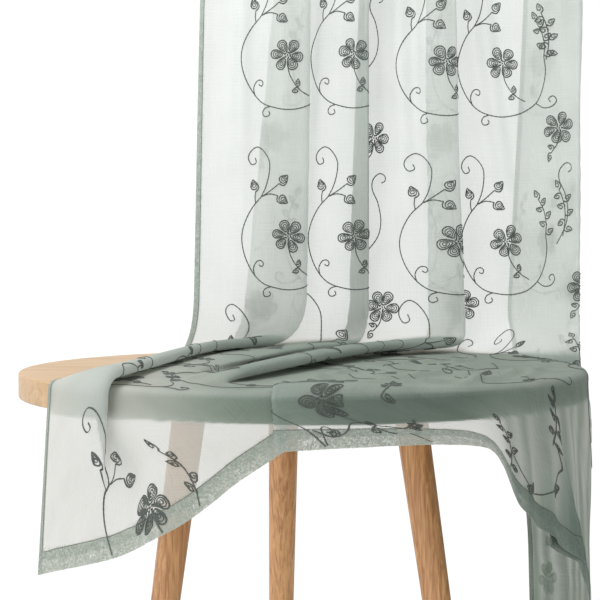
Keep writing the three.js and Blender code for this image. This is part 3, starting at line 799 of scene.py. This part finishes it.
def sew_line(chart, stitch_size):
    """A line of chain stitch through points on the panel, three points across."""
    wide, high = stitch_size
    ends = np.concatenate([[2 * chart[0] - chart[1]], chart, [2 * chart[-1] - chart[-2]]])
    t = np.arange(5) / 5
    path = [cubic(b, (c - a) / 2, c, (d - b) / 2, t)
            for a, b, c, d in zip(ends, ends[1:], ends[2:], ends[3:])]
    path = np.concatenate(path + [chart[-1:]])
    length = np.append(0, np.cumsum(np.linalg.norm(np.diff(path, axis=0), axis=1)))
    even = np.linspace(0, length[-1], max(int(length[-1] / stitch_long), 4))
    path = np.stack([np.interp(even, length, path[:, k]) for k in (0, 1)], -1)
    kept = inside(path)
    first = int(np.argmax(kept))
    last = first + int(np.argmin(np.append(kept[first:], False)))
    path, even = path[first:last], even[first:last]
    if len(path) < 3:
        return
    way = np.gradient(path, axis=0)
    aside = np.stack([-way[:, 1], way[:, 0]], -1)
    aside = aside / np.maximum(np.linalg.norm(way, axis=1, keepdims=True), 1e-9)
    half = wide / 2 * (0.85 + 0.15 * np.sin(even * 900))
    across = np.array([-1, 0, 1])
    flat = path[:, None] + aside[:, None] * (half[:, None] * across)[..., None]
    points = on_cloth(flat[..., 0], flat[..., 1], 0.0003 + high * np.array([0.1, 1, 0.1])[None, :])
    corner = (np.arange(len(path) - 1)[:, None] * 3 + np.arange(2)[None, :]).ravel()
    faces = np.stack([corner, corner + 3, corner + 4, corner + 1], -1)
    marks = np.stack(np.broadcast_arrays(across * wide / 2, even[:, None]), -1)
    thread_points.append(points.reshape(-1, 3))
    thread_faces.append(faces)
    thread_marks.append(marks.reshape(-1, 2))


def sew_vine(chart, centre):
    sew_line(charted(chart, centre), vine_stitch)


def sew_spiral(at, centre, way, outline, turns):
    """A petal or leaf: one line of stitches laid round its outline and on in to its heart."""
    turn = np.arange(int(turns * 14) + 1) / 14 * 2 * math.pi
    along, reach = outline(turn)
    shrink = np.linspace(1, 0.1, len(turn))[:, None]
    heart = outline(np.array([math.pi / 2]))[0][0]
    path = np.array([heart, 0]) + (np.stack([along, reach], -1) - np.array([heart, 0])) * shrink
    a = math.radians(way)
    spin = np.array([[math.cos(a), math.sin(a)], [-math.sin(a), math.cos(a)]])
    flat = charted(path @ spin + at, centre)
    if inside(flat).all():
        sew_line(flat[:16], outline_stitch)
        sew_line(flat[14:], filling_stitch)


def sew_leaf(leaf, centre):
    long, wide = leaf["long"], leaf["wide"]

    def outline(turn):
        along = (1 - np.cos(turn)) / 2
        return along * long, np.sin(turn) * 0.74 * wide * np.maximum(1.02 - along, 0)**0.7
    sew_spiral(np.array(leaf["at"]), centre, leaf["way"], outline, 2.9 if wide > 11 else 1.9)


def sew_flower(centre, seed):
    chance = np.random.default_rng(seed)
    start = chance.uniform(-12, 12)
    for k in range(6):
        way = start + 60 * k + chance.uniform(-5, 5)
        long, wide = 22 + chance.uniform(-2, 2), 15 + chance.uniform(-1.5, 1.5)

        def outline(turn):
            along = (1 - np.cos(turn)) / 2
            return along * long, np.sin(turn) * 0.58 * wide * (0.28 + along)**0.7
        a = math.radians(way)
        sew_spiral(np.array([math.cos(a), math.sin(a)]) * 3.5, centre, way, outline, 3.3)
    for k in range(6):
        a = 2 * math.pi * k / 5
        knot = np.array([math.cos(a), math.sin(a)]) * (3.6 if k < 5 else 0)
        ring = np.stack([np.cos(np.arange(7) * 1.05), np.sin(np.arange(7) * 1.05)], -1)
        sew_line(charted(knot + ring * 1.1, centre), knot_stitch)


motif_places = [
    (0.154, -0.088), (0.446, -0.088), (0.692, -0.088), (0.915, -0.088), (1.140, -0.088),
    (0.157, 0.180), (0.446, 0.177), (0.692, 0.189), (0.925, 0.190), (1.150, 0.185),
    (0.150, 0.447), (0.450, 0.447), (0.687, 0.456), (0.888, 0.459), (1.110, 0.455),
    (0.150, 0.700), (1.090, 0.705), (0.155, 0.945), (0.430, 0.935), (1.158, 0.975),
    (0.160, 1.200), (0.167, 1.448), (0.425, 1.402),
]
for seed, centre in enumerate(np.array(motif_places)):
    for chart in sprays:
        sew_vine(chart, centre)
    for leaf in leaves:
        sew_leaf(leaf, centre)
    sew_flower(centre, 100 + seed)
half_places = [
    (0.305, 0.030), (0.560, 0.030), (0.805, 0.030), (0.305, 0.300), (0.558, 0.300), (0.805, 0.300),
    (1.010, 0.290), (0.305, 0.554), (0.562, 0.554), (0.805, 0.554), (1.030, 0.530),
]
for seed, centre in enumerate(np.array(half_places)):
    for chart in half_sprays:
        sew_vine(chart, centre)
    for leaf in half_leaves:
        sew_leaf(leaf, centre)
    sew_flower(centre, 300 + seed)
# Leafy branches stand between the flowers near the right edge, vines run over the flat of the
# table, some with a flower, and two with buds run along the front hem and down the right fall.
branch = [(-4, 36), (0, 18), (1, 0), (-2, -18), (-8, -34)]
branch_leaves = [(-1, 24, 20), (0, 14, 160), (1, 4, -15), (1, -6, -165), (-1, -16, -30),
                 (-4, -24, 175), (-8, -34, -110)]
branch_places = [(1.010, 0.150), (1.004, 0.416), (1.010, 0.660), (0.698, 1.300), (0.588, 1.392)]
for centre in np.array(branch_places):
    sew_vine(branch, centre)
    for x, y, way in branch_leaves:
        sew_leaf(dict(at=(x, y), way=way, long=17, wide=10), centre)
table_places = [(0.305, 0.820), (0.292, 1.190), (0.440, 0.700), (0.530, 1.150), (0.640, 1.190),
                (0.850, 0.960), (0.670, 0.720), (0.880, 0.720), (0.640, 0.960)]
with_flower = 6
for seed, centre in enumerate(np.array(table_places)):
    for chart in sprays[:2] + sprays[3:6]:
        sew_vine(chart, centre)
    for leaf in leaves[1:5]:
        sew_leaf(leaf, centre)
    if seed >= with_flower:
        sew_flower(centre, 500 + seed)
hem_vine = np.array([(0.372, 1.452), (0.384, 1.470), (0.400, 1.468), (0.418, 1.452), (0.440, 1.462),
                     (0.458, 1.474), (0.474, 1.458), (0.482, 1.440)])
fall_vine = np.array([(0.694, 1.335), (0.691, 1.368), (0.672, 1.395), (0.645, 1.420),
                      (0.618, 1.432), (0.600, 1.420), (0.590, 1.400)])
for path in (hem_vine, fall_vine):
    sew_line(path, vine_stitch)
buds = [((0.392, 1.470), 150), ((0.466, 1.468), -30), ((0.616, 1.432), 200), ((0.664, 1.404), 10)]
for at, way in buds:
    sew_leaf(dict(at=(0, 0), way=way, long=18, wide=12), np.array(at))
    sew_leaf(dict(at=(0, 0), way=way + 70, long=14, wide=9), np.array(at))
# Each hem is sewn down with one line of stitches along its turned edge.
u = np.linspace(0.012, panel_wide - 0.012, 121)
seam_in = 0.0008
sew_line(np.stack([u, hem_at(u) - bottom_hem + seam_in], -1), hem_stitch)
for across in (side_hem - seam_in, panel_wide - side_hem + seam_in):
    v = np.linspace(0.004, hem_at(across) - bottom_hem, 121)
    sew_line(np.stack([np.full(121, across), v], -1), hem_stitch)
embroidery_mesh = bpy.data.meshes.new("embroidery")
starts = np.cumsum([0] + [len(points) for points in thread_points[:-1]])
faces = np.concatenate([part + start for part, start in zip(thread_faces, starts)])
embroidery_mesh.from_pydata(np.concatenate(thread_points).tolist(), [], faces.tolist())
embroidery_mesh.uv_layers.new(name="stitch")
marks = np.concatenate(thread_marks)[faces.ravel()]
embroidery_mesh.uv_layers["stitch"].data.foreach_set("uv", marks.ravel())
embroidery_mesh.polygons.foreach_set("use_smooth", np.ones(len(faces), bool))
embroidery = add_piece("embroidery", embroidery_mesh)

thread_dark, thread_light = (0.030, 0.038, 0.033, 1), (0.15, 0.175, 0.155, 1)
thread, sewn = new_finish("thread")
stitch = sewn.node("ShaderNodeUVMap", settings={"uv_map": "stitch"})
round_at = sewn.node("ShaderNodeSeparateXYZ", {"Vector": stitch}, output="X")
length_at = sewn.node("ShaderNodeSeparateXYZ", {"Vector": stitch}, output="Y")
# Painted highlight and shade: each stitch line is painted lighter along its crown and darker at its
# sides and between its chain links; the ply noise is the thread's own colour.
crown_painted_light = (round_at * 1500).maths("COSINE")
links = (length_at * 2600 + round_at * 900).maths("SINE") * 0.5 + 0.5
ply = sewn.node("ShaderNodeTexNoise", {"Vector": stitch, "Scale": 900, "Detail": 3})
shade = (crown_painted_light * 0.5 + links * 0.35 + ply * 0.45).between(0.35, 1.15)
tone = shade.blend(thread_dark, thread_light)
relief = sewn.node("ShaderNodeBump", {"Height": crown_painted_light * 0.6 + links * 0.4,
                                      "Strength": 0.7, "Distance": 0.0005})
cotton = sewn.node("ShaderNodeBsdfPrincipled",
                   {"Base Color": tone, "Roughness": 0.75 - shade * 0.2, "Normal": relief,
                    "Specular IOR Level": 0.35})
sewn.node("ShaderNodeOutputMaterial", {"Surface": cotton})
embroidery.data.materials.append(thread)

# The floor: a plain, pale painted round that the table stands on.
bpy.ops.object.select_all(action="DESELECT")
floor_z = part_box("leg_back")[0][2]
bpy.ops.mesh.primitive_circle_add(vertices=128, radius=1.9, fill_type="NGON",
                                  location=(middle_x, middle_y, floor_z))
floor = bpy.context.object
floor.name = "floor"
floor_paint, floor_finish = new_finish("floor_paint")
floor_place = floor_finish.node("ShaderNodeTexCoord", output="Object")
speck = floor_finish.node("ShaderNodeTexNoise", {"Vector": floor_place, "Scale": 3.0})
paint = floor_finish.node("ShaderNodeBsdfPrincipled",
                          {"Base Color": speck.blend((0.82, 0.82, 0.81, 1), (0.86, 0.86, 0.85, 1)),
                           "Roughness": 0.8})
floor_finish.node("ShaderNodeOutputMaterial", {"Surface": paint})
floor.data.materials.append(floor_paint)

# The light is soft and comes from all round, as from white walls, more from the left and the
# back. One soft lamp hangs over the left of the table and a weak one stands low in front.
world = bpy.data.worlds.new("studio")
world.use_nodes = True
world.node_tree.nodes.clear()
studio = Finish(world.node_tree)
way = studio.node("ShaderNodeTexCoord", output="Generated")
side = studio.node("ShaderNodeSeparateXYZ", {"Vector": way}, output="X")
behind = studio.node("ShaderNodeSeparateXYZ", {"Vector": way}, output="Y")
height = studio.node("ShaderNodeSeparateXYZ", {"Vector": way}, output="Z")
wall = 1 - height.between(0.35, 0.75)
back_wall = behind.between(-0.3, 0.75) * 0.18
left_wall = (side * -1).between(0.0, 1.0) * 0.32
right_shade = side.between(0.1, 0.9) * 0.32
walls = wall * (back_wall + left_wall - right_shade + 0.11)
sky = studio.node("ShaderNodeBackground", {"Color": (1, 1, 1, 1), "Strength": 0.75 + walls})
studio.node("ShaderNodeOutputWorld", {"Surface": sky})
bpy.context.scene.world = world
lamps = [
    dict(name="softbox", watts=16, size=0.8, at=(-0.7, -0.25, 1.5), turn=(-9, -25, 0)),
    dict(name="fill", watts=5, size=0.9, at=(-1.3, -1.6, -0.35), turn=(95, 0, -40)),
]
for lamp in lamps:
    light = bpy.data.lights.new(lamp["name"], "AREA")
    light.energy = lamp["watts"]
    light.size = lamp["size"]
    stand = bpy.data.objects.new(lamp["name"], light)
    stand.location = np.array([middle_x, middle_y, table_z]) + lamp["at"]
    stand.rotation_euler = [math.radians(a) for a in lamp["turn"]]
    stand.visible_camera = False
    bpy.context.collection.objects.link(stand)

# The camera stands in front of the table, a little above its top.
lens = bpy.data.cameras.new("camera")
lens.sensor_width = 36
lens.lens = 108.4
lens.clip_end = 50
camera = bpy.data.objects.new("camera", lens)
camera.location = (middle_x - 0.0027, middle_y - 2.411, table_z + 0.188)
camera.rotation_euler = (math.radians(90 - 2.28), 0, 0)
bpy.context.collection.objects.link(camera)
bpy.context.scene.camera = camera
bpy.context.scene.view_settings.view_transform = "Standard"
